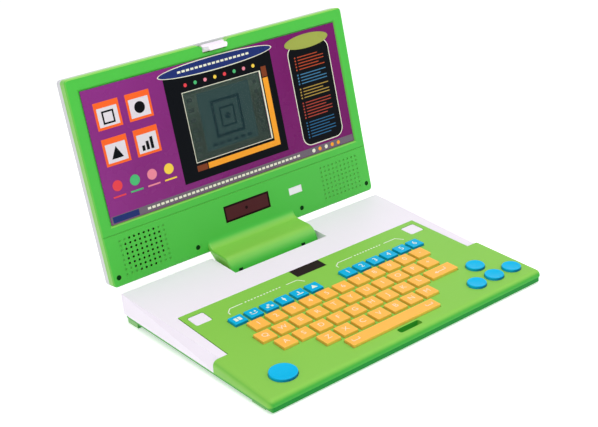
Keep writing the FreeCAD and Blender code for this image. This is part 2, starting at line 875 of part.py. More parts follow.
def speaker_cone():
    wide = speaker_radius - speaker_rim - cone_gap
    start = FreeCAD.Vector(-grille_centre, plate + cone_gap, grille_v)
    return Part.makeCone(wide, cone_small_radius, speaker_rim_depth - cone_gap, start, Y_AXIS)


def flanged_window(u0, u1, v0, v1):
    """A pane that fills an opening of the bezel, held by a flange behind it."""
    pane = box(u0 + panel_gap, u1 - panel_gap, window_set_back, plate, v0 + panel_gap, v1 - panel_gap)
    grow = window_flange
    back = box(u0 - grow, u1 + grow, plate, plate + window_flange_depth, v0 - grow, v1 + grow)
    return pane.fuse(back).removeSplitter()


def ir_receiver():
    front = plate + window_flange_depth
    half = receiver_size / 2
    middle = (receiver_low + receiver_high) / 2
    body = box(-half, half, front, front + receiver_depth, middle - half, middle + half)
    return body.makeFillet(small_edge_radius, depth_edges(body, front + receiver_depth))


def lid_screws():
    screws = []
    for u, v in lid_screw_places():
        head = rod_y(lid_screw_head, lid_screw_sink, lid_screw_sink + lid_screw_head_depth, u, v)
        shank = rod_y(lid_screw_shank, lid_screw_sink, lid_screw_sink + lid_screw_length, u, v)
        screws.append(head.fuse(shank).removeSplitter())
    return Part.makeCompound(screws)


def latch_hook():
    body = box(-latch_half, latch_half, latch_front, latch_back, latch_low, latch_high)
    tip = latch_half - latch_taper
    arm = plan([(-latch_half, latch_front), (-latch_half, -latch_taper_start), (-tip, -latch_reach),
                (tip, -latch_reach), (latch_half, -latch_taper_start), (latch_half, latch_front)],
               latch_arm_low, latch_arm_high)
    lip_low = latch_arm_low - latch_lip
    lip_half = latch_half - latch_lip_inset
    lip = box(-lip_half, lip_half, -latch_reach, latch_lip_depth - latch_reach, lip_low, latch_arm_low)
    hook = body.fuse([arm, lip]).removeSplitter()
    bore = rod_x(latch_pin_radius + pin_clearance, -latch_half, latch_half, latch_pin_depth, latch_pin_v)
    return hook.cut(bore)


def latch_pin():
    return rod_x(latch_pin_radius, -latch_pin_end, latch_pin_end, latch_pin_depth, latch_pin_v)


def on_lid_face(v):
    lean = math.radians(lid_lean_deg)
    return lid_foot_y + v * math.sin(lean), lid_foot_z + v * math.cos(lean)


def hinge_hood():
    """The hood in front of the hinge: a round nose about the hinge axis, a flat top and a blend
    into the lid's face, with two cheeks that turn on the hinge pins."""
    lead = math.radians(hood_lead_deg)
    rise = hood_top_z - hinge_z
    top_angle = math.pi - math.asin(rise / hood_radius)
    nose = [FreeCAD.Vector(0, hinge_y + hood_radius * math.cos(a), hinge_z + hood_radius * math.sin(a))
            for a in (lead, (lead + top_angle) / 2, top_angle)]
    lean = math.radians(lid_lean_deg)
    crease_v = (hood_top_z - lid_foot_z) / math.cos(lean)
    turn = math.pi / 2 - lean
    tangent = hood_blend * math.tan(turn / 2)
    crease_y = on_lid_face(crease_v)[0]
    start = FreeCAD.Vector(0, crease_y - tangent, hood_top_z)
    middle = FreeCAD.Vector(0, start.y + hood_blend * math.sin(turn / 2),
                            start.z + hood_blend * (1 - math.cos(turn / 2)))
    end = FreeCAD.Vector(0, *on_lid_face(crease_v + tangent))
    foot = FreeCAD.Vector(0, *on_lid_face(0))
    axis = FreeCAD.Vector(0, hinge_y, hinge_z)
    edges = [Part.Arc(*nose).toShape(), Part.LineSegment(nose[2], start).toShape(),
             Part.Arc(start, middle, end).toShape(), Part.LineSegment(end, foot).toShape(),
             Part.LineSegment(foot, axis).toShape(), Part.LineSegment(axis, nose[0]).toShape()]
    profile = Part.Face(Part.Wire(edges))
    profile.translate(FreeCAD.Vector(-hood_half, 0, 0))
    block = profile.extrude(FreeCAD.Vector(2 * hood_half, 0, 0))
    crease = [e for e in level_edges(block, hood_top_z) if abs(e.BoundBox.YMax - nose[2].y) < tolerance]
    block = block.makeFillet(hood_crease, crease)
    rims = [e for e in block.Edges if e.BoundBox.XLength < tolerance and e.BoundBox.ZMax > hinge_z + tolerance
            and e.BoundBox.YMin < start.y + tolerance]
    block = block.makeFillet(hood_end_radius, rims)
    inner = hood_half - hood_cheek
    block = block.cut(rod_x(hood_radius - hood_skin, -inner, inner, hinge_y, hinge_z))
    skin = hood_top_z - hood_skin
    block = block.cut(box(-inner, inner, hinge_y, crease_y - hood_blend, hinge_z, skin))
    for ends in ((-hood_half, -inner), (inner, hood_half)):
        block = block.fuse(rod_x(hub_radius, *ends, hinge_y, hinge_z))
    return block.cut(rod_x(pin_radius + pin_clearance, -far, far, hinge_y, hinge_z)).removeSplitter()


def lid_pieces():
    return {"lid_bezel": lid_bezel(), "lid_back": lid_back(), "art_panel": art_panel(),
            "lcd_window": lcd_window(), "lcd_glass": lcd_glass(), "main_board": main_board(),
            "speaker_frame": speaker_frame(), "speaker_cone": speaker_cone(),
            "ir_receiver_window": flanged_window(-receiver_half, receiver_half, receiver_low, receiver_high),
            "ir_receiver": ir_receiver(),
            "indicator_lens": flanged_window(lens_left, lens_right, lens_low, lens_high),
            "lid_screws": lid_screws(), "latch_pin": latch_pin(), "latch_hook": latch_hook()}


def deck_pieces():
    pieces = {"bottom_tray": bottom_tray(), "rear_cover": rear_cover(), "locating_posts": locating_posts(),
              "hinge_pins": hinge_pins(), "hinge_washers": hinge_washers(), "battery_door": battery_door(),
              "battery_cells": battery_cells(), "battery_contacts": battery_contacts(),
              "base_screws": base_screws(), "front_feet": feet(front_foot_y), "rear_feet": feet(rear_foot_y),
              "keyboard_top": keyboard_top(), "keyboard_bottom": keyboard_bottom(), "key_mat": key_mat(),
              "keyboard_board": keyboard_board(), "ir_emitter_window": ir_emitter_window(),
              "ir_emitter": ir_emitter(), "keyboard_cells": keyboard_cells(),
              "keyboard_screws": keyboard_screws(), "hinge_hood": hinge_hood()}
    for name, places in key_places().items():
        solids = [key_shape(*place) for place in places]
        pieces[name] = solids[0] if len(solids) == 1 else Part.makeCompound(solids)
    for name, place in button_places().items():
        pieces[name] = round_key(*place)
    return pieces


def lid_to_deck():
    foot = FreeCAD.Vector(0, lid_foot_y, lid_foot_z)
    return FreeCAD.Placement(foot, FreeCAD.Rotation(X_AXIS, -lid_lean_deg))


def deck_to_table():
    tilt = FreeCAD.Rotation(X_AXIS, math.degrees(math.atan(table_slope)))
    return FreeCAD.Placement(tilt.multVec(FreeCAD.Vector(0, 0, front_drop)), tilt)


def assemble():
    """Every piece on the table, with the origin under the middle of the whole."""
    pieces = deck_pieces()
    for name, shape in lid_pieces().items():
        shape.Placement = lid_to_deck().multiply(shape.Placement)
        pieces[name] = shape
    for shape in pieces.values():
        shape.Placement = deck_to_table().multiply(shape.Placement)
    boxes = [shape.optimalBoundingBox(False, False) for shape in pieces.values()]
    middle = (min(b.YMin for b in boxes) + max(b.YMax for b in boxes)) / 2
    for shape in pieces.values():
        shape.translate(FreeCAD.Vector(0, -middle, 0))
    return pieces, middle


os.makedirs("parts", exist_ok=True)
parts, middle_y = assemble()
for node, piece in parts.items():
    piece.exportStep("parts/%s.step" % node)
print(len(parts), "pieces, middle at y", round(middle_y, 3))
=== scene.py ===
import bpy
import json
import math
from mathutils import Euler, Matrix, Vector


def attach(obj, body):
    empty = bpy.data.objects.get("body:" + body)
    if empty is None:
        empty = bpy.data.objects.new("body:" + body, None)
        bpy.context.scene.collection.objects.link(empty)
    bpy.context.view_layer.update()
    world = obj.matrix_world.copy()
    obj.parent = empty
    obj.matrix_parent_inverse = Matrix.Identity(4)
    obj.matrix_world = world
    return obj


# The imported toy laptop, opened as in the photograph. All of its rigid shapes come from here,
# and every section below finishes one piece or one group of like pieces.
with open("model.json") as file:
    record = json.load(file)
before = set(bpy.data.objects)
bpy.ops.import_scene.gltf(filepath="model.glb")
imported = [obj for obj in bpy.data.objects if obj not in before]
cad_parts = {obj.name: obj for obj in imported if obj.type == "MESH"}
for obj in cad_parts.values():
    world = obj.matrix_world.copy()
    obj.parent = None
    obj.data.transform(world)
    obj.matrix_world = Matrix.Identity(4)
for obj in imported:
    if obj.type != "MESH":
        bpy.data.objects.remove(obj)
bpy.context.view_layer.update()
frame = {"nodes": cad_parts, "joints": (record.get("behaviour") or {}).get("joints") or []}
nodes = frame["nodes"]
MM = 0.001


# Bottom tray: the darker green shell under everything, moulded in one piece with satin sides.
# The battery door fits flush in its underside and is of the same plastic.
def srgb(red, green, blue):
    """A colour picked as 0 to 255 display values, as the linear colour that a socket takes."""
    linear = []
    for value in (red, green, blue):
        share = value / 255
        linear.append(share / 12.92 if share <= 0.04045 else ((share + 0.055) / 1.055) ** 2.4)
    return (*linear, 1.0)


def wire(tree, start, start_socket, end, end_socket):
    tree.links.new(start.outputs[start_socket], end.inputs[end_socket])


def calculation(tree, operation, constants=None):
    """A math node, with the inputs that stay constant given by their place."""
    node = tree.nodes.new("ShaderNodeMath")
    node.operation = operation
    for place, value in (constants or {}).items():
        node.inputs[place].default_value = value
    return node


def noise(tree, place, scale, detail):
    texture = tree.nodes.new("ShaderNodeTexNoise")
    texture.inputs["Scale"].default_value = scale
    texture.inputs["Detail"].default_value = detail
    wire(tree, place, "Object", texture, "Vector")
    return texture


COLOUR = "NodeSocketColor"
VALUE = "NodeSocketFloat"


def new_group(name, inputs, outputs):
    """An empty shader node group with named sockets, and the nodes at its two ends."""
    tree = bpy.data.node_groups.new(name, "ShaderNodeTree")
    for socket, kind in inputs.items():
        tree.interface.new_socket(socket, in_out="INPUT", socket_type=kind)
    for socket, kind in outputs.items():
        tree.interface.new_socket(socket, in_out="OUTPUT", socket_type=kind)
    return tree, tree.nodes.new("NodeGroupInput"), tree.nodes.new("NodeGroupOutput")


DRIFT_SCALE = 14.0
DRIFT_DETAIL = 3.0
DRIFT_MIDDLE = 0.5
SMEAR_SCALE = 45.0
SMEAR_DETAIL = 4.0
SMEAR_ROUGHNESS = 0.14
SPARK_SCALE = 2400.0
SPARK_DETAIL = 2.0


def build_plastic_group():
    """Moulded plastic: a slow drift of tone, a fine spark texture and uneven gloss."""
    inputs = {"Colour": COLOUR, "Mottle": VALUE, "Gloss": VALUE, "Grain": VALUE}
    outputs = {"Colour": COLOUR, "Roughness": VALUE, "Height": VALUE}
    tree, inlet, outlet = new_group("moulded_plastic", inputs, outputs)
    place = tree.nodes.new("ShaderNodeTexCoord")
    drift = noise(tree, place, DRIFT_SCALE, DRIFT_DETAIL)
    centred = calculation(tree, "SUBTRACT", {1: DRIFT_MIDDLE})
    wire(tree, drift, "Fac", centred, 0)
    span = calculation(tree, "MULTIPLY_ADD", {2: 1.0})
    wire(tree, centred, "Value", span, 0)
    wire(tree, inlet, "Mottle", span, 1)
    tint = tree.nodes.new("ShaderNodeVectorMath")
    tint.operation = "SCALE"
    wire(tree, inlet, "Colour", tint, 0)
    wire(tree, span, "Value", tint, "Scale")
    wire(tree, tint, "Vector", outlet, "Colour")
    smear = noise(tree, place, SMEAR_SCALE, SMEAR_DETAIL)
    shine = calculation(tree, "MULTIPLY_ADD", {1: SMEAR_ROUGHNESS})
    wire(tree, smear, "Fac", shine, 0)
    wire(tree, inlet, "Gloss", shine, 2)
    wire(tree, shine, "Value", outlet, "Roughness")
    spark = noise(tree, place, SPARK_SCALE, SPARK_DETAIL)
    depth = calculation(tree, "MULTIPLY")
    wire(tree, spark, "Fac", depth, 0)
    wire(tree, inlet, "Grain", depth, 1)
    wire(tree, depth, "Value", outlet, "Height")
    return tree


plastic_group = build_plastic_group()
COAT_ROUGHNESS = 0.15
PLASTIC_IOR = 1.46
BUMP_STRENGTH = 0.25
BUMP_DEPTH = 0.05


def plastic(name, colour, gloss=0.35, mottle=0.08, grain=0.5, coat=0.0, specular=0.4):
    """A material of moulded plastic in one colour. A low gloss value is a shinier surface."""
    material = bpy.data.materials.new(name)
    material.use_nodes = True
    tree = material.node_tree
    shader = tree.nodes["Principled BSDF"]
    shader.inputs["Specular IOR Level"].default_value = specular
    shader.inputs["Coat Weight"].default_value = coat
    shader.inputs["Coat Roughness"].default_value = COAT_ROUGHNESS
    shader.inputs["IOR"].default_value = PLASTIC_IOR
    moulding = tree.nodes.new("ShaderNodeGroup")
    moulding.name = "moulding"
    moulding.node_tree = plastic_group
    moulding.inputs["Colour"].default_value = colour
    moulding.inputs["Mottle"].default_value = mottle
    moulding.inputs["Gloss"].default_value = gloss
    moulding.inputs["Grain"].default_value = grain
    bump = tree.nodes.new("ShaderNodeBump")
    bump.inputs["Strength"].default_value = BUMP_STRENGTH
    bump.inputs["Distance"].default_value = BUMP_DEPTH * MM
    wire(tree, moulding, "Colour", shader, "Base Color")
    wire(tree, moulding, "Roughness", shader, "Roughness")
    wire(tree, moulding, "Height", bump, "Height")
    wire(tree, bump, "Normal", shader, "Normal")
    return material


def finish_nodes(material, *names):
    for name in names:
        slots = nodes[name].data.materials
        slots.clear()
        slots.append(material)


# Places of the sockets of a node that mixes two colours.
MIX_SHARE = 0
MIX_FROM = 6
MIX_TO = 7
MIX_RESULT = 2
# How strongly faces that turn left take the painted light, and the slope at which it is full.
LEFT_SHARE = 0.8
FADE_END = 0.95


def build_facing_group():
    """Painted light: a colour that fades to another tone where a moulding faces up or left, as light
    from above and the left would make it.
    """
    inputs = {"Side": COLOUR, "Top": COLOUR, "Start": VALUE}
    tree, inlet, outlet = new_group("painted_top_and_left_light", inputs, {"Colour": COLOUR})
    place = tree.nodes.new("ShaderNodeTexCoord")
    split = tree.nodes.new("ShaderNodeSeparateXYZ")
    wire(tree, place, "Normal", split, "Vector")
    left = calculation(tree, "MULTIPLY", {1: -LEFT_SHARE})
    wire(tree, split, "X", left, 0)
    higher = calculation(tree, "MAXIMUM")
    wire(tree, split, "Z", higher, 0)
    wire(tree, left, "Value", higher, 1)
    rise = tree.nodes.new("ShaderNodeMapRange")
    rise.interpolation_type = "SMOOTHSTEP"
    rise.inputs["From Max"].default_value = FADE_END
    wire(tree, inlet, "Start", rise, "From Min")
    wire(tree, higher, "Value", rise, "Value")
    fade = tree.nodes.new("ShaderNodeMix")
    fade.data_type = "RGBA"
    wire(tree, rise, "Result", fade, MIX_SHARE)
    wire(tree, inlet, "Side", fade, MIX_FROM)
    wire(tree, inlet, "Top", fade, MIX_TO)
    wire(tree, fade, MIX_RESULT, outlet, "Colour")
    return tree


painted_light_group = build_facing_group()


def tone_on_top(material, colour, start=0.15):
    """Paints light into a moulding's colour: fades it to another tone where it faces up or left, from a
    given slope on.
    """
    tree = material.node_tree
    moulding = tree.nodes["moulding"]
    light_paint = tree.nodes.new("ShaderNodeGroup")
    light_paint.node_tree = painted_light_group
    light_paint.inputs["Side"].default_value = moulding.inputs["Colour"].default_value
    light_paint.inputs["Top"].default_value = colour
    light_paint.inputs["Start"].default_value = start
    wire(tree, light_paint, "Colour", moulding, "Colour")


tray_plastic = plastic("tray_plastic", srgb(18, 134, 46), gloss=0.42, specular=0.15)
# Painted light: the tray turns a paler green where it faces up or left.
tone_on_top(tray_plastic, srgb(96, 178, 84))
finish_nodes(tray_plastic, "bottom_tray", "battery_door")

# White mouldings: the rear cover round the keyboard and the two posts that locate the keyboard are
# moulded in a satin white plastic with a faint lilac cast. The lid's back shell is a greyer white.
white_plastic = plastic("white_plastic", srgb(244, 236, 248), gloss=0.40, mottle=0.03, grain=0.6)
finish_nodes(white_plastic, "rear_cover", "locating_posts")
grey_white = plastic("grey_white_plastic", srgb(216, 216, 220), gloss=0.42, mottle=0.04, grain=0.6,
                     specular=0.2)
finish_nodes(grey_white, "lid_back")

# Feet: moulded rubber pads glued under the tray's four corners. They are matt and coarser in grain
# than the shells, in a paler green than the tray.
rubber = plastic("foot_rubber", srgb(70, 156, 72), gloss=0.6, mottle=0.12, grain=2.0)
# Painted light: the feet turn a paler green where they face up or left.
tone_on_top(rubber, srgb(150, 200, 132))
finish_nodes(rubber, "front_feet", "rear_feet")


# Fasteners, pins, contacts and cells: plated steel, drawn or stamped, with a fine grain in the
# plating. The lid's screws are lacquered in a dark green, the battery cells have a blue jacket, and
# the washers on the hinge pins are a pale plastic.
def metal(name, colour, gloss):
    material = plastic(name, colour, gloss=gloss, mottle=0.2, grain=1.2)
    material.node_tree.nodes["Principled BSDF"].inputs["Metallic"].default_value = 1.0
    return material


steel = metal("plated_steel", srgb(190, 190, 194), 0.22)
finish_nodes(steel, "hinge_pins", "base_screws", "keyboard_screws", "latch_pin", "battery_contacts",
             "keyboard_cells")
lacquered_steel = metal("lacquered_steel", srgb(14, 58, 22), 0.5)
finish_nodes(lacquered_steel, "lid_screws")
cell_jacket = plastic("cell_jacket", srgb(40, 60, 120), gloss=0.25, coat=0.4)
finish_nodes(cell_jacket, "battery_cells")
washer_plastic = plastic("washer_plastic", srgb(214, 210, 196), gloss=0.45)
finish_nodes(washer_plastic, "hinge_washers")

# Inner pieces: two circuit boards of mottled green laminate, a moulded silicone key mat, black sensor
# packages and a speaker in black, all fixed inside the shells.
laminate = plastic("board_laminate", srgb(24, 96, 52), gloss=0.3, mottle=0.4)
finish_nodes(laminate, "main_board", "keyboard_board")
silicone = plastic("mat_silicone", srgb(196, 196, 190), gloss=0.55)
finish_nodes(silicone, "key_mat")
package = plastic("sensor_package", srgb(16, 14, 18), gloss=0.2)
finish_nodes(package, "ir_emitter", "ir_receiver")
cone_paper = plastic("cone_paper", srgb(5, 6, 6), gloss=0.8, mottle=0.4, grain=3.0, specular=0.05)
finish_nodes(cone_paper, "speaker_cone", "speaker_frame")

# Keyboard shell: moulded in a satin plastic, a yellower green than the lid, with a bottom cover of the
# same. Two white brackets are printed over the small keys, each with a row of dashes.
keyboard_plastic = plastic("keyboard_plastic", srgb(56, 166, 52), gloss=0.36, mottle=0.05, specular=0.25)
# Painted light: the keyboard shell turns a paler yellow-green where it faces up or left.
tone_on_top(keyboard_plastic, srgb(136, 200, 78))
finish_nodes(keyboard_plastic, "keyboard_top", "keyboard_bottom")
lift = next(joint for joint in frame["joints"] if joint["name"] == "keyboard_lift")
across = Vector((1, 0, 0))
deck_up = -Vector(lift["axis"]).normalized()
deck_back = Vector((0.0, deck_up.z, -deck_up.y))
shell_points = [vertex.co for vertex in nodes["keyboard_top"].data.vertices]
deck_origin = deck_up * max(point.dot(deck_up) for point in shell_points)
deck_origin += deck_back * min(point.dot(deck_back) for point in shell_points)


def on_deck(x, y, height=0.0):
    """A point over the deck: across, back from its front edge, and up, in millimetres."""
    return deck_origin + (across * x + deck_back * y + deck_up * height) * MM


def add_piece(name, points, faces, body, material):
    """A mesh piece that rides on a body and takes the given material."""
    mesh = bpy.data.meshes.new(name)
    mesh.from_pydata(points, [], faces)
    mesh.validate()
    mesh.materials.append(material)
    piece = bpy.data.objects.new(name, mesh)
    bpy.context.scene.collection.objects.link(piece)
    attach(piece, body)


INK = 0.05


def printed(name, outlines, place, body, material, level=0.0, thickness=INK):
    """Flat printed shapes, each an anticlockwise outline, as a thin layer of ink on a surface."""
    points = []
    faces = []
    for outline in outlines:
        first = len(points)
        count = len(outline)
        points += [place(x, y, level) for x, y in outline]
        points += [place(x, y, level + thickness) for x, y in outline]
        faces.append([first + count + i for i in range(count)])
        faces.append([first + i for i in reversed(range(count))])
        for i in range(count):
            after = (i + 1) % count
            faces.append([first + i, first + after, first + count + after, first + count + i])
    add_piece(name, points, faces, body, material)


def stripe(path, width):
    """Outlines of a line of even width along a path."""
    outlines = []
    for start, end in zip(path, path[1:]):
        start = Vector(start)
        end = Vector(end)
        run = (end - start).normalized() * (width / 2)
        side = Vector((-run.y, run.x))
        corners = (start - run - side, end + run - side, end + run + side, start - run + side)
        outlines.append([(corner.x, corner.y) for corner in corners])
    return outlines


def rectangle(x0, x1, y0, y1):
    return [(x0, y0), (x1, y0), (x1, y1), (x0, y1)]


def dashes(left, right, middle, height, length, pitch):
    """A row of short bars of one length, evenly spaced."""
    low = middle - height / 2
    high = middle + height / 2
    starts = [left + pitch * i for i in range(int((right - left) / pitch))]
    return [rectangle(start, start + length, low, high) for start in starts]


white_ink = plastic("white_ink", srgb(236, 240, 226), gloss=0.45, mottle=0.04)
BRACKET_LINE = 0.9
BRACKET_Y = 137
bracket_paths = [
    [(-100, 129), (-100, 132), (-95, BRACKET_Y), (-82, BRACKET_Y)],
    [(-33, BRACKET_Y), (-21, BRACKET_Y), (-17, 131)],
    [(22, 130), (22, 133), (27, BRACKET_Y), (44, BRACKET_Y)],
    [(84, BRACKET_Y), (98, BRACKET_Y), (103, 130)],
]
bracket_ink = [outline for path in bracket_paths for outline in stripe(path, BRACKET_LINE)]
DECK_DASH_Y = 137.1
DECK_DASH_HEIGHT = 1.4
DECK_DASH = 1.7
DECK_DASH_ROWS = ((-79, -36), (47, 81))
for left, right in DECK_DASH_ROWS:
    bracket_ink += dashes(left, right, DECK_DASH_Y, DECK_DASH_HEIGHT, DECK_DASH, 2 * DECK_DASH)
printed("keyboard_brackets", bracket_ink, on_deck, "keyboard", white_ink)


# Infrared windows: near-black red filter plastic, polished and pressed in. One is at the rear edge of
# the keyboard and the other in the lid.
def filter_plastic(name, colour):
    return plastic(name, colour, gloss=0.3, mottle=0.3, grain=0.1, specular=0.15)


finish_nodes(filter_plastic("infrared_filter", srgb(34, 14, 24)), "ir_emitter_window")
finish_nodes(filter_plastic("receiver_filter", srgb(72, 24, 30)), "ir_receiver_window")


# Letter keys, enter key and space bar: moulded orange caps with pale legends printed on them. The
# legends are the plain letters and figures of any keyboard.
def letters(name, marks, size, body, material, place, level):
    """Characters printed centred at given places, one mesh for each moving body."""
    points = []
    faces = []
    for character, x, y in marks:
        curve = bpy.data.curves.new("glyph", "FONT")
        curve.body = character
        curve.size = size
        curve.align_x = "CENTER"
        curve.align_y = "CENTER"
        curve.extrude = INK
        glyph = bpy.data.objects.new("glyph", curve)
        bpy.context.scene.collection.objects.link(glyph)
        view = bpy.context.evaluated_depsgraph_get()
        mesh = bpy.data.meshes.new_from_object(glyph.evaluated_get(view))
        first = len(points)
        points += [place(x + v.co.x, y + v.co.y, level + v.co.z) for v in mesh.vertices]
        faces += [[first + index for index in polygon.vertices] for polygon in mesh.polygons]
        bpy.data.objects.remove(glyph)
        bpy.data.curves.remove(curve)
        bpy.data.meshes.remove(mesh)
    add_piece(name, points, faces, body, material)


def key_place(name):
    """A key's centre on the deck and the height of its top, in millimetres, from its own mesh."""
    offsets = [vertex.co - deck_origin for vertex in nodes[name].data.vertices]
    xs = [offset.x for offset in offsets]
    ys = [offset.dot(deck_back) for offset in offsets]
    top = max(offset.dot(deck_up) for offset in offsets)
    return (min(xs) + max(xs)) / 2 / MM, (min(ys) + max(ys)) / 2 / MM, top / MM


orange_plastic = plastic("orange_plastic", srgb(252, 200, 78), gloss=0.38, mottle=0.05)
# Painted light: the orange caps take a deeper orange where they face up or left.
tone_on_top(orange_plastic, srgb(255, 186, 76))
legend_ink = plastic("legend_ink", srgb(255, 224, 196), gloss=0.5, mottle=0.05)
LETTER_PITCH = 18.54
LETTER_SIZE = 8.0
legend_rows = {
    "letter_row_1": "1234567890-",
    "letter_row_2": "QWERTYUIOP+",
    "letter_row_3": "ASDFGHJKL",
    "letter_row_4": "ZXCVBNM",
}
for row, characters in legend_rows.items():
    middle, back, top = key_place(row)
    first = middle - LETTER_PITCH * (len(characters) - 1) / 2
    marks = [(character, first + LETTER_PITCH * i, back) for i, character in enumerate(characters)]
    letters("legends_" + row, marks, LETTER_SIZE, row + "_body", legend_ink, on_deck, top)
finish_nodes(orange_plastic, "enter_key", "space_bar", *legend_rows)

ENTER_LINE = 0.9
middle, back, top = key_place("enter_key")
arrow_path = [(middle + 6, back + 2.4), (middle + 6, back - 1), (middle - 5, back - 1)]
arrow_head = [(middle - 8, back - 1), (middle - 4.6, back - 3), (middle - 4.6, back + 1)]
enter_arrow = stripe(arrow_path, ENTER_LINE) + [arrow_head]
printed("legend_enter", enter_arrow, on_deck, "enter_key_body", legend_ink, top)

SPACE_LINE = 0.8
SPACE_MARK_PLACE = 41
SPACE_MARK_HALF = 3.5
SPACE_MARK_RISE = 1.2
middle, back, top = key_place("space_bar")
low = back - SPACE_MARK_RISE
high = back + SPACE_MARK_RISE
space_marks = []
for place in (middle - SPACE_MARK_PLACE, middle + SPACE_MARK_PLACE):
    left = place - SPACE_MARK_HALF
    right = place + SPACE_MARK_HALF
    space_marks += stripe([(left, high), (left, low), (right, low), (right, high)], SPACE_LINE)
printed("legend_space", space_marks, on_deck, "space_bar_body", legend_ink, top)

# Small blue keys: moulded caps, six with figures on the right and six with plain geometric signs on
# the left, all printed in white.
blue_plastic = plastic("blue_plastic", srgb(0, 138, 186), gloss=0.34, mottle=0.06, specular=0.15)
# Painted light: the blue caps turn a brighter blue where they face up or left.
tone_on_top(blue_plastic, srgb(0, 176, 224))
SMALL_LETTER = 8.5
SMILE_LINE = 0.8
TICK_LINE = 1.0


def disc(x, y, radius, steps=28):
    turns = [2 * math.pi * i / steps for i in range(steps)]
    return [(x + radius * math.cos(turn), y + radius * math.sin(turn)) for turn in turns]


two_bars = [rectangle(-3.4, -0.4, -2.6, 2.6), rectangle(0.4, 3.4, -2.6, 2.6)]
smile = [disc(-2.2, 1.2, 1.0), disc(2.2, 1.2, 1.0)]
smile += stripe([(-3, -1.4), (0, -2.6), (3, -1.4)], SMILE_LINE)
three_blocks = [rectangle(-3.6, -1.2, -2.8, -0.4), rectangle(1.2, 3.6, -2.8, -0.4)]
three_blocks.append(rectangle(-1.2, 1.2, 0.2, 2.6))
dot_and_ticks = [disc(0, 0, 1.5)] + stripe([(0, 2), (0, 3.2)], TICK_LINE)
dot_and_ticks += stripe([(0, -3.2), (0, -2)], TICK_LINE)
stem_on_base = [rectangle(-3.4, 3.4, -2.8, -1.6), rectangle(-0.7, 0.7, -1.0, 2.8)]
triangle = [[(-3.2, -2.4), (3.2, -2.4), (0, 3.0)]]
key_signs = [two_bars, smile, three_blocks, dot_and_ticks, stem_on_base, triangle]
for number, shapes in enumerate(key_signs, 1):
    name = "function_key_%d" % number
    x, y, top = key_place(name)
    outlines = [[(x + dx, y + dy) for dx, dy in outline] for outline in shapes]
    printed("sign_" + name, outlines, on_deck, name + "_body", white_ink, top)
    figure = "number_key_%d" % number
    x, y, top = key_place(figure)
    letters("legend_" + figure, [(str(number), x, y)], SMALL_LETTER, figure + "_body",
            white_ink, on_deck, top)
    finish_nodes(blue_plastic, name, figure)

# Round buttons: glossy sky-blue caps, moulded in one piece each. One large button is at the left and
# the four arrow buttons are at the right.
button_plastic = plastic("button_plastic", srgb(0, 120, 172), gloss=0.3, mottle=0.05, grain=0.2,
                         specular=0.15)
# Painted light: the buttons turn a brighter sky blue where they face up or left.
tone_on_top(button_plastic, srgb(0, 184, 234))
finish_nodes(button_plastic, "action_button", "arrow_up", "arrow_left", "arrow_down", "arrow_right")

# Lid bezel and hinge hood: moulded in a bright green plastic, glossier than the keyboard. The hood
# sits against the bezel's lower edge and turns with the lid.
lid_plastic = plastic("lid_plastic", srgb(64, 184, 56), gloss=0.3, mottle=0.07, grain=0.25, coat=0.1)
# Painted light: the bezel and hood turn a paler yellow-green where they face up or left.
tone_on_top(lid_plastic, srgb(132, 200, 76), start=0.3)
finish_nodes(lid_plastic, "lid_bezel", "hinge_hood")
LID_LEAN = math.radians(12.6)
lid_up = deck_up * math.cos(LID_LEAN) + deck_back * math.sin(LID_LEAN)
lid_out = deck_up * math.sin(LID_LEAN) - deck_back * math.cos(LID_LEAN)
bezel_points = [vertex.co for vertex in nodes["lid_bezel"].data.vertices]
lid_origin = lid_up * min(point.dot(lid_up) for point in bezel_points)
lid_origin += lid_out * max(point.dot(lid_out) for point in bezel_points)


def on_lid(u, v, out=0.0):
    """A point on the lid's face: across, up from its lower edge, and out of it, in millimetres."""
    return lid_origin + (across * u + lid_up * v + lid_out * out) * MM


# Grilles: the holes over the speaker and the dimples round them and on the right, moulded into the
# bezel. Their walls and the dimples' floors are painted darker as shade, since little light gets into
# them.
GRILLE_U = 116.2
GRILLE_V = 24.9
GRILLE_HALF_WIDTH = 27.0
GRILLE_HALF_HEIGHT = 18.5
HOLE_SHADE_START = 0.42
HOLE_SHADE_END = 0.8


def along(tree, place, direction):
    """How far a point of the moulding lies along a direction."""
    distance = tree.nodes.new("ShaderNodeVectorMath")
    distance.operation = "DOT_PRODUCT"
    distance.inputs[1].default_value = direction
    wire(tree, place, "Object", distance, 0)
    return distance


def close_to(tree, source, middle, reach):
    """A mask that is 1 where a value lies within reach of its middle."""
    mask = calculation(tree, "COMPARE", {1: middle, 2: reach})
    wire(tree, source, "Value", mask, 0)
    return mask


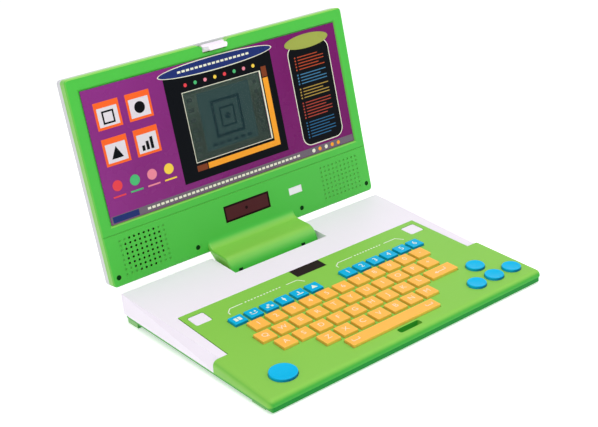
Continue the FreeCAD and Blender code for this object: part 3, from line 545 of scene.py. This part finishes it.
def shaded_holes(material, colour):
    """Paints shade into a lid moulding inside its grilles, where it lies below the lid's face."""
    tree = material.node_tree
    moulding = tree.nodes["moulding"]
    plain = moulding.inputs["Colour"].links[0].from_node
    place = tree.nodes.new("ShaderNodeTexCoord")
    either_side = calculation(tree, "ABSOLUTE")
    wire(tree, along(tree, place, across), "Value", either_side, 0)
    near_u = close_to(tree, either_side, GRILLE_U * MM, GRILLE_HALF_WIDTH * MM)
    middle = lid_origin.dot(lid_up) + GRILLE_V * MM
    near_v = close_to(tree, along(tree, place, lid_up), middle, GRILLE_HALF_HEIGHT * MM)
    in_grille = calculation(tree, "MULTIPLY")
    wire(tree, near_u, "Value", in_grille, 0)
    wire(tree, near_v, "Value", in_grille, 1)
    face = lid_origin.dot(lid_out)
    depth = tree.nodes.new("ShaderNodeMapRange")
    depth.inputs["From Min"].default_value = face - HOLE_SHADE_START * MM
    depth.inputs["From Max"].default_value = face - HOLE_SHADE_END * MM
    wire(tree, along(tree, place, lid_out), "Value", depth, "Value")
    in_hole = calculation(tree, "MULTIPLY")
    wire(tree, in_grille, "Value", in_hole, 0)
    wire(tree, depth, "Result", in_hole, 1)
    shade = tree.nodes.new("ShaderNodeMix")
    shade.data_type = "RGBA"
    shade.inputs[MIX_TO].default_value = colour
    wire(tree, in_hole, "Value", shade, MIX_SHARE)
    wire(tree, plain, "Colour", shade, MIX_FROM)
    wire(tree, shade, MIX_RESULT, moulding, "Colour")


# Painted shade: the hole walls and dimple floors go towards a near-black green.
shaded_holes(lid_plastic, srgb(4, 30, 8))

# Hood marks: two short dark marks low on the hood's nose.
# They are a thin dark layer on the plastic.
hinge = next(joint for joint in frame["joints"] if joint["name"] == "lid_hinge")
hinge_axis = Vector(hinge["pos_m"])
NOSE_RADIUS = 19.0


def on_nose(x, arc, out=0.0):
    """A point on the hood's nose: across, round it up from the height of its axis, and out of it."""
    turn = math.pi - arc / NOSE_RADIUS
    spoke = deck_back * math.cos(turn) + deck_up * math.sin(turn)
    return hinge_axis + (across * x + spoke * (NOSE_RADIUS + out)) * MM


nose_mark_ink = plastic("nose_mark_ink", srgb(5, 40, 14), gloss=0.6, mottle=0.2, specular=0.1)
NOSE_MARK_HALF = 2.3
NOSE_MARK_START = 4.6
NOSE_MARK_STEP = 0.9
NOSE_MARK_STEPS = 3
NOSE_MARK_PLACES = (-41, 33)
nose_marks = []
for x in NOSE_MARK_PLACES:
    for i in range(NOSE_MARK_STEPS):
        start = NOSE_MARK_START + NOSE_MARK_STEP * i
        nose_marks.append(rectangle(x - NOSE_MARK_HALF, x + NOSE_MARK_HALF, start, start + NOSE_MARK_STEP))
printed("hood_dark_marks", nose_marks, on_nose, "lid", nose_mark_ink)

# Printed panel: a purple sheet with a clear gloss, glued into the lid's recess. Its colour shades to
# magenta across the sheet, and what is on it is printed in thin layers of ink.
PANEL_LEVEL = -0.5
PANEL_HALF = 150.0
CLOUD_SCALE = 16.0
CLOUD_DETAIL = 2.0
CLOUD_SHARE = 0.5
PURPLE_START = 0.2


def panel_purple():
    """The sheet's own ink: purple that shades to magenta across the sheet, under a clear gloss."""
    material = plastic("panel_purple", srgb(126, 34, 130), gloss=0.2, mottle=0.12, grain=0.1,
                       specular=0.15)
    tree = material.node_tree
    place = tree.nodes.new("ShaderNodeTexCoord")
    cloud = noise(tree, place, CLOUD_SCALE, CLOUD_DETAIL)
    rightward = tree.nodes.new("ShaderNodeMapRange")
    rightward.inputs["From Min"].default_value = -PANEL_HALF * MM
    rightward.inputs["From Max"].default_value = PANEL_HALF * MM
    wire(tree, along(tree, place, across), "Value", rightward, "Value")
    blend = calculation(tree, "MULTIPLY_ADD", {1: CLOUD_SHARE})
    wire(tree, cloud, "Fac", blend, 0)
    wire(tree, rightward, "Result", blend, 2)
    ramp = tree.nodes.new("ShaderNodeValToRGB")
    purple, magenta = ramp.color_ramp.elements
    purple.position = PURPLE_START
    purple.color = srgb(134, 44, 128)
    magenta.color = srgb(110, 14, 96)
    wire(tree, blend, "Value", ramp, "Fac")
    wire(tree, ramp, "Color", tree.nodes["moulding"], "Colour")
    return material


finish_nodes(panel_purple(), "art_panel")


# Screen surround: a black field round the screen with a pale line at its edge, orange strips at the
# right and below, and a navy oval above. All of it is ink on the sheet.
def ink(name, colour, specular=0.2):
    return plastic(name, colour, gloss=0.22, mottle=0.06, grain=0.1, specular=specular)


def panel_print(name, outlines, material, layer=0):
    printed(name, outlines, on_lid, "lid", material, PANEL_LEVEL + INK * layer)


def oval(u, v, half_width, half_height, steps=64):
    turns = [2 * math.pi * i / steps for i in range(steps)]
    return [(u + half_width * math.cos(turn), v + half_height * math.sin(turn)) for turn in turns]


black_ink = ink("black_ink", srgb(10, 13, 18), specular=0.05)
pale_ink = ink("pale_ink", srgb(226, 226, 206))
SCREEN_LEFT, SCREEN_RIGHT = -43.5, 43.5
SCREEN_LOW, SCREEN_HIGH = 86.8, 153.3
EDGE_LINE = 0.6
EDGE_LINE_RIGHT = 1.6
FIELD_HALF = 60.5
FIELD_LOW, FIELD_HIGH = 70, 170
edge_left = SCREEN_LEFT - EDGE_LINE
edge_right = SCREEN_RIGHT + EDGE_LINE
edge_low = SCREEN_LOW - EDGE_LINE
edge_high = SCREEN_HIGH + EDGE_LINE
field = [
    rectangle(-FIELD_HALF, edge_left, FIELD_LOW, FIELD_HIGH),
    rectangle(edge_right, FIELD_HALF, FIELD_LOW, FIELD_HIGH),
    rectangle(edge_left, edge_right, FIELD_LOW, edge_low),
    rectangle(edge_left, edge_right, edge_high, FIELD_HIGH),
]
panel_print("panel_black_field", field, black_ink)
screen_edge = [
    rectangle(edge_left, SCREEN_LEFT, edge_low, edge_high),
    rectangle(SCREEN_RIGHT, SCREEN_RIGHT + EDGE_LINE_RIGHT, edge_low, edge_high),
    rectangle(SCREEN_LEFT, SCREEN_RIGHT, edge_low, SCREEN_LOW),
    rectangle(SCREEN_LEFT, SCREEN_RIGHT, SCREEN_HIGH, edge_high),
]
panel_print("panel_screen_edge", screen_edge, pale_ink, 1)

orange_ink = ink("orange_ink", srgb(240, 156, 36))
dark_orange = ink("dark_orange_ink", srgb(120, 52, 18))
UPRIGHT_LEFT, UPRIGHT_RIGHT = 46.5, 52.5
UPRIGHT_HIGH = 146
UPRIGHT_END_HIGH = 157
LEVEL_LOW, LEVEL_HIGH = 78, 83.6
LEVEL_LEFT = -32
LEVEL_END_LEFT = -44.5
STRIP_GAP = 1
orange_strips = [
    rectangle(UPRIGHT_LEFT, UPRIGHT_RIGHT, LEVEL_LOW, UPRIGHT_HIGH),
    rectangle(LEVEL_LEFT, UPRIGHT_LEFT, LEVEL_LOW, LEVEL_HIGH),
]
panel_print("panel_orange_strips", orange_strips, orange_ink, 1)
strip_ends = [
    rectangle(UPRIGHT_LEFT, UPRIGHT_RIGHT, UPRIGHT_HIGH + STRIP_GAP, UPRIGHT_END_HIGH),
    rectangle(LEVEL_END_LEFT, LEVEL_LEFT - STRIP_GAP, LEVEL_LOW, LEVEL_HIGH),
]
panel_print("panel_strip_ends", strip_ends, dark_orange, 1)

navy_ink = ink("navy_ink", srgb(16, 38, 104))
OVAL_U = -1
OVAL_V = 173
OVAL_HALF_WIDTH = 63.4
OVAL_HALF_HEIGHT = 5.9
OVAL_LINE_ENDS = 1.1
OVAL_LINE_SIDES = 0.9
oval_line = oval(OVAL_U, OVAL_V, OVAL_HALF_WIDTH + OVAL_LINE_ENDS, OVAL_HALF_HEIGHT + OVAL_LINE_SIDES)
panel_print("panel_oval_line", [oval_line], pale_ink, 1)
panel_print("panel_oval", [oval(OVAL_U, OVAL_V, OVAL_HALF_WIDTH, OVAL_HALF_HEIGHT)], navy_ink, 2)

# Grey band: a strip along the sheet's lower edge with a row of pale bars, a navy tab at the left and
# dots at the right. The same pale ink gives the oval its row of bars.
grey_ink = ink("grey_ink", srgb(104, 94, 106))
BAND_HALF = 141.5
BAND_LOW, BAND_HIGH = 57.2, 64
BAND_V = 60.6
BAND_DOT = 2.0
PALE_DOTS = (90, 106)
ORANGE_DOTS = (98, 114, 122)
BAR_LENGTH = 3.4
BAR_PITCH = 4.8
OVAL_BAR_HEIGHT = 2.0
OVAL_BARS_LEFT, OVAL_BARS_RIGHT = -44, 40
BAND_BAR_HEIGHT = 2.2
BAND_BARS_LEFT, BAND_BARS_RIGHT = -104, 76
TAB_LEFT, TAB_RIGHT = -140, -113
TAB_MARGIN = 0.6
panel_print("panel_grey_strip", [rectangle(-BAND_HALF, BAND_HALF, BAND_LOW, BAND_HIGH)], grey_ink)
pale_marks = dashes(OVAL_BARS_LEFT, OVAL_BARS_RIGHT, OVAL_V, OVAL_BAR_HEIGHT, BAR_LENGTH, BAR_PITCH)
pale_marks += dashes(BAND_BARS_LEFT, BAND_BARS_RIGHT, BAND_V, BAND_BAR_HEIGHT, BAR_LENGTH, BAR_PITCH)
pale_marks += [disc(u, BAND_V, BAND_DOT) for u in PALE_DOTS]
panel_print("panel_white_dashes", pale_marks, pale_ink, 3)
band_tab = rectangle(TAB_LEFT, TAB_RIGHT, BAND_LOW + TAB_MARGIN, BAND_HIGH - TAB_MARGIN)
panel_print("panel_strip_tab", [band_tab], navy_ink, 1)
panel_print("panel_strip_dots", [disc(u, BAND_V, BAND_DOT) for u in ORANGE_DOTS], orange_ink, 1)


# List column: a black field with round corners and a pale line round it, at the right of the sheet.
# Rows of a dot and a bar are printed on it in five colours, under an olive label.
def rounded(u0, u1, v0, v1, radius, steps=8):
    """An anticlockwise rectangle with round corners."""
    corners = (
        (u1 - radius, v0 + radius, -90),
        (u1 - radius, v1 - radius, 0),
        (u0 + radius, v1 - radius, 90),
        (u0 + radius, v0 + radius, 180),
    )
    outline = []
    for u, v, turn in corners:
        for i in range(steps + 1):
            angle = math.radians(turn + 90 * i / steps)
            outline.append((u + radius * math.cos(angle), v + radius * math.sin(angle)))
    return outline


olive_ink = ink("olive_ink", srgb(152, 162, 72))
COLUMN_LEFT, COLUMN_RIGHT = 80.9, 130.1
COLUMN_LOW, COLUMN_HIGH = 67.4, 167.1
COLUMN_CORNER = 9.2
COLUMN_LINE = 0.9
COLUMN_LINE_CORNER = 10
LABEL_U = 105.5
LABEL_V = 169.5
LABEL_HALF_WIDTH = 27
LABEL_HALF_HEIGHT = 7
column_line = rounded(COLUMN_LEFT - COLUMN_LINE, COLUMN_RIGHT + COLUMN_LINE, COLUMN_LOW - COLUMN_LINE,
                      COLUMN_HIGH + COLUMN_LINE, COLUMN_LINE_CORNER)
panel_print("panel_column_line", [column_line], pale_ink)
column = rounded(COLUMN_LEFT, COLUMN_RIGHT, COLUMN_LOW, COLUMN_HIGH, COLUMN_CORNER)
panel_print("panel_column", [column], black_ink, 1)
label = oval(LABEL_U, LABEL_V, LABEL_HALF_WIDTH, LABEL_HALF_HEIGHT)
panel_print("panel_label", [label], olive_ink, 2)
ROW_DOT_U = 88
ROW_DOT = 0.9
ROW_DOT_STEPS = 12
ROW_BAR_U = 91
ROW_BAR_HEIGHT = 0.9
ROW_BAR_LENGTHS = (32, 32, 25)
ROW_PITCH = 3.0
ROW_GROUP_GAP = 2.2
row_groups = [
    ("column_rust", srgb(176, 66, 30), 5),
    ("column_blue", srgb(60, 120, 160), 4),
    ("column_gold", srgb(170, 140, 60), 4),
    ("column_rose", srgb(170, 60, 44), 6),
    ("column_teal", srgb(30, 96, 140), 6),
]
row_v = 156.0
for colour_name, colour, count in row_groups:
    bars = []
    for i in range(count):
        length = ROW_BAR_LENGTHS[(i + count) % len(ROW_BAR_LENGTHS)]
        bars.append(disc(ROW_DOT_U, row_v - ROW_BAR_HEIGHT / 2, ROW_DOT, ROW_DOT_STEPS))
        bars.append(rectangle(ROW_BAR_U, ROW_BAR_U + length, row_v - ROW_BAR_HEIGHT, row_v))
        row_v -= ROW_PITCH
    row_v -= ROW_GROUP_GAP
    panel_print("panel_" + colour_name, bars, ink(colour_name, colour), 2)


# Tiles: four orange-rimmed tiles at the left of the sheet, each a pale face with one plain black
# shape, printed in three layers.
def frame_strips(u0, u1, v0, v1, width):
    """The four strips of a rectangular frame drawn inside the given edges."""
    return [
        rectangle(u0, u1, v0, v0 + width),
        rectangle(u0, u1, v1 - width, v1),
        rectangle(u0, u0 + width, v0 + width, v1 - width),
        rectangle(u1 - width, u1, v0 + width, v1 - width),
    ]


tile_ink = ink("tile_ink", srgb(240, 96, 32))
tile_white = ink("tile_white", srgb(214, 208, 216))
TILE_HALF = 12.5
TILE_RIM = 2.4
TILE_HEAD = 3
tile_spots = [(-121, 154), (-89, 154), (-121, 121), (-89, 121)]
tile_rims = []
tile_faces = []
inner = TILE_HALF - TILE_RIM
for u, v in tile_spots:
    tile_rims.append(rectangle(u - TILE_HALF, u + TILE_HALF, v - TILE_HALF, v + TILE_HALF))
    tile_faces.append(rectangle(u - inner, u + inner, v - inner, v + inner - TILE_HEAD))
panel_print("panel_tile_rims", tile_rims, tile_ink)
panel_print("panel_tile_faces", tile_faces, tile_white, 1)
SQUARE_LINE = 1.6
TILE_DISC = 5.4
STEPS = 3
STEP_LEFT = -6.5
STEP_PITCH = 4.5
STEP_WIDTH = 3.0
STEP_FOOT = -8
STEP_TOP = -3
STEP_RISE = 3
(u0, v0), (u1, v1), (u2, v2), (u3, v3) = tile_spots
tile_shapes = frame_strips(u0 - 6, u0 + 6, v0 - 8, v0 + 4, SQUARE_LINE)
tile_shapes.append(disc(u1, v1 - 1.5, TILE_DISC))
tile_shapes.append([(u2 - 6, v2 - 7), (u2 + 6, v2 - 7), (u2, v2 + 4)])
for i in range(STEPS):
    left = u3 + STEP_LEFT + STEP_PITCH * i
    top = v3 + STEP_TOP + STEP_RISE * i
    tile_shapes.append(rectangle(left, left + STEP_WIDTH, v3 + STEP_FOOT, top))
panel_print("panel_tile_shapes", tile_shapes, black_ink, 2)

# Signs: four coloured discs in a row below the tiles, each over a bar, and a row of eight small dots
# above the screen. Each colour is one layer of ink.
SIGN_LEFT = -128.0
SIGN_PITCH = 18.0
SIGN_V = 90.0
SIGN_RADIUS = 5.0
SIGN_BAR_HALF = 6.5
SIGN_BAR_LOW, SIGN_BAR_HIGH = 79.5, 81
DOT_LEFT = -38.5
DOT_PITCH = 11.0
DOT_V = 160.0
DOT_RADIUS = 1.8
DOTS_OF_A_COLOUR = 2
sign_colours = {
    "sign_red": srgb(220, 60, 70),
    "sign_green": srgb(70, 180, 110),
    "sign_pink": srgb(226, 130, 150),
    "sign_yellow": srgb(236, 200, 70),
}
for number, (sign_name, colour) in enumerate(sign_colours.items()):
    u = SIGN_LEFT + SIGN_PITCH * number
    marks = [disc(u, SIGN_V, SIGN_RADIUS)]
    marks.append(rectangle(u - SIGN_BAR_HALF, u + SIGN_BAR_HALF, SIGN_BAR_LOW, SIGN_BAR_HIGH))
    for i in range(DOTS_OF_A_COLOUR):
        order = number + len(sign_colours) * i
        marks.append(disc(DOT_LEFT + DOT_PITCH * order, DOT_V, DOT_RADIUS))
    panel_print("panel_" + sign_name, marks, ink(sign_name, colour), 1)


# Screen: a grey-green reflective liquid crystal cell, seated in the lid behind a clear acrylic window.
# Plain frames, blocks and dots show as switched segments.
def lcd_tone(name, colour):
    return plastic(name, colour, gloss=0.4, mottle=0.1, grain=0.0, specular=0.1)


LCD_LEVEL = -1.5
LCD_INK = 0.02


def lcd_print(name, outlines, material, layer):
    printed(name, outlines, on_lid, "lid", material, LCD_LEVEL + LCD_INK * layer, LCD_INK)


finish_nodes(lcd_tone("lcd_cell", srgb(70, 86, 79)), "lcd_glass")
active_area = rectangle(-29, 30, 93, 149)
lcd_print("lcd_active_area", [active_area], lcd_tone("lcd_segment", srgb(44, 67, 67)), 0)

OUTER_FRAME_LINE = 3.0
INNER_FRAME_LINE = 2.0
CENTRE_DOT = 3.2
BLOCKS = 6
BLOCK_LEFT = -22
BLOCK_LENGTH = 5
BLOCK_PITCH = 8
BLOCK_LOW, BLOCK_HIGH = 96, 99
segments = frame_strips(-16, 17, 103, 139, OUTER_FRAME_LINE)
segments += frame_strips(-8, 9, 111, 131, INNER_FRAME_LINE)
segments.append(disc(0.5, 121, CENTRE_DOT))
segments += dashes(BLOCK_LEFT, BLOCK_LEFT + BLOCKS * BLOCK_PITCH, (BLOCK_LOW + BLOCK_HIGH) / 2,
                   BLOCK_HIGH - BLOCK_LOW, BLOCK_LENGTH, BLOCK_PITCH)
lcd_print("lcd_segments", segments, lcd_tone("lcd_mark", srgb(18, 44, 49)), 1)

SIDE_ROWS = 6
SIDE_ROW_LOW = 97
SIDE_ROW_PITCH = 9.6
SIDE_BAR_LEFT, SIDE_BAR_RIGHT = -40, -34
SIDE_BAR_HALF = 2
SIDE_DOT_U = 37
SIDE_DOT = 2.2
side_marks = []
for i in range(SIDE_ROWS):
    v = SIDE_ROW_LOW + SIDE_ROW_PITCH * i
    side_marks.append(rectangle(SIDE_BAR_LEFT, SIDE_BAR_RIGHT, v - SIDE_BAR_HALF, v + SIDE_BAR_HALF))
    side_marks.append(disc(SIDE_DOT_U, v, SIDE_DOT))
lcd_print("lcd_side_marks", side_marks, lcd_tone("lcd_faint", srgb(48, 62, 59)), 0)
ACRYLIC_IOR = 1.3
ACRYLIC_ALPHA = 0.15


def clear_acrylic():
    """Clear sheet with faint wiping marks that show only in its gloss."""
    clear = srgb(244, 248, 246)
    material = plastic("clear_acrylic", clear, gloss=0.02, grain=0.0)
    tree = material.node_tree
    shader = tree.nodes["Principled BSDF"]
    tree.links.remove(shader.inputs["Base Color"].links[0])
    shader.inputs["Base Color"].default_value = clear
    shader.inputs["Transmission Weight"].default_value = 1.0
    shader.inputs["IOR"].default_value = ACRYLIC_IOR
    shader.inputs["Alpha"].default_value = ACRYLIC_ALPHA
    return material


finish_nodes(clear_acrylic(), "lcd_window")

# Receiver spot: the round lens of the infrared receiver, seen as a darker disc in its window, and a
# painted shadow along the window's edges, where the window sits set back in the bezel.
RECEIVER_LEVEL = -0.3
RECEIVER_INK = 0.02
RECESS_SHADOW_HALF = 26.6
RECESS_SHADOW_LOW, RECESS_SHADOW_HIGH = 21.1, 37.5
RECESS_SHADOW_WIDTH = 1.9
SPOT_U = -1.0
SPOT_V = 29.3
SPOT_RADIUS = 1.6
spot_and_shadow_ink = plastic("receiver_spot_and_painted_shadow", srgb(26, 8, 10), gloss=0.3, mottle=0.2, grain=0.1, specular=0.05)
# Painted shadow: dark strips along the edges of the set-back window.
receiver_spot_and_shadow = frame_strips(-RECESS_SHADOW_HALF, RECESS_SHADOW_HALF, RECESS_SHADOW_LOW, RECESS_SHADOW_HIGH, RECESS_SHADOW_WIDTH)
receiver_spot_and_shadow.append(disc(SPOT_U, SPOT_V, SPOT_RADIUS))
printed("receiver_spot_and_painted_shadow", receiver_spot_and_shadow, on_lid, "lid", spot_and_shadow_ink, RECEIVER_LEVEL,
        RECEIVER_INK)

# Indicator lens: a small diffusing white window beside the infrared window, moulded in a milky
# plastic and pressed into the bezel.
lens_plastic = plastic("lens_plastic", srgb(236, 234, 240), gloss=0.22, mottle=0.04, grain=0.2)
finish_nodes(lens_plastic, "indicator_lens")

# Latch: a hook of the base's white plastic that turns on a pin in the lid's top edge and goes into
# the keyboard's slot.
finish_nodes(white_plastic, "latch_hook")

# Stage: a pale floor and backdrop, a large soft light over the front left, a weaker one at the
# right, one from above, and the camera at the photograph's viewing angle.
FLOOR_SIZE = 12.0
FLOOR_ROUGHNESS = 0.9
FLOOR_GLOW = 0.5
bpy.ops.mesh.primitive_plane_add(size=FLOOR_SIZE)
floor = bpy.context.object
floor.name = "floor"
floor_material = bpy.data.materials.new("floor_white")
floor_material.use_nodes = True
floor_shader = floor_material.node_tree.nodes["Principled BSDF"]
floor_shader.inputs["Base Color"].default_value = srgb(250, 250, 250)
floor_shader.inputs["Roughness"].default_value = FLOOR_ROUGHNESS
floor_shader.inputs["Specular IOR Level"].default_value = 0.0
floor_shader.inputs["Emission Color"].default_value = (1.0, 1.0, 1.0, 1.0)
floor_shader.inputs["Emission Strength"].default_value = FLOOR_GLOW
floor.data.materials.append(floor_material)

AMBIENT = 0.45
world = bpy.data.worlds.new("studio")
bpy.context.scene.world = world
world.use_nodes = True
world_tree = world.node_tree
backdrop = world_tree.nodes["Background"]
backdrop.inputs["Color"].default_value = (1.0, 1.0, 1.0, 1.0)
light_path = world_tree.nodes.new("ShaderNodeLightPath")
seen = calculation(world_tree, "MAXIMUM")
wire(world_tree, light_path, "Is Camera Ray", seen, 0)
wire(world_tree, light_path, "Is Glossy Ray", seen, 1)
shown = calculation(world_tree, "MAXIMUM")
wire(world_tree, seen, "Value", shown, 0)
wire(world_tree, light_path, "Is Transmission Ray", shown, 1)
glow = calculation(world_tree, "MULTIPLY_ADD", {1: 1.0 - AMBIENT, 2: AMBIENT})
wire(world_tree, shown, "Value", glow, 0)
wire(world_tree, glow, "Value", backdrop, "Strength")


def soft_light(name, place, aim, size, power):
    lamp = bpy.data.lights.new(name, "AREA")
    lamp.shape = "DISK"
    lamp.size = size
    lamp.energy = power
    light = bpy.data.objects.new(name, lamp)
    light.location = place
    light.rotation_euler = (Vector(aim) - Vector(place)).to_track_quat("-Z", "Y").to_euler()
    bpy.context.scene.collection.objects.link(light)


soft_light("key_light", (-0.45, -0.85, 1.45), aim=(0, 0, 0.05), size=1.0, power=10.0)
soft_light("fill_light", (1.1, -0.6, 0.9), aim=(0, 0, 0.08), size=1.0, power=4.0)
soft_light("top_light", (0.0, 0.1, 1.5), aim=(0, 0, 0.0), size=1.2, power=5.8)

CAMERA_PLACE = (-538.47, -758.25, 454.28)
CAMERA_TURN = (68.0893, 6.0505, -37.3777)
SENSOR_WIDTH = 36.0
FOCAL_LENGTH = 67.056
camera_data = bpy.data.cameras.new("camera")
camera_data.sensor_width = SENSOR_WIDTH
camera_data.lens = FOCAL_LENGTH
camera = bpy.data.objects.new("camera", camera_data)
camera.location = Vector(CAMERA_PLACE) * MM
camera.rotation_euler = Euler([math.radians(turn) for turn in CAMERA_TURN])
bpy.context.scene.collection.objects.link(camera)
bpy.context.scene.camera = camera
bpy.context.scene.view_settings.view_transform = "Standard"
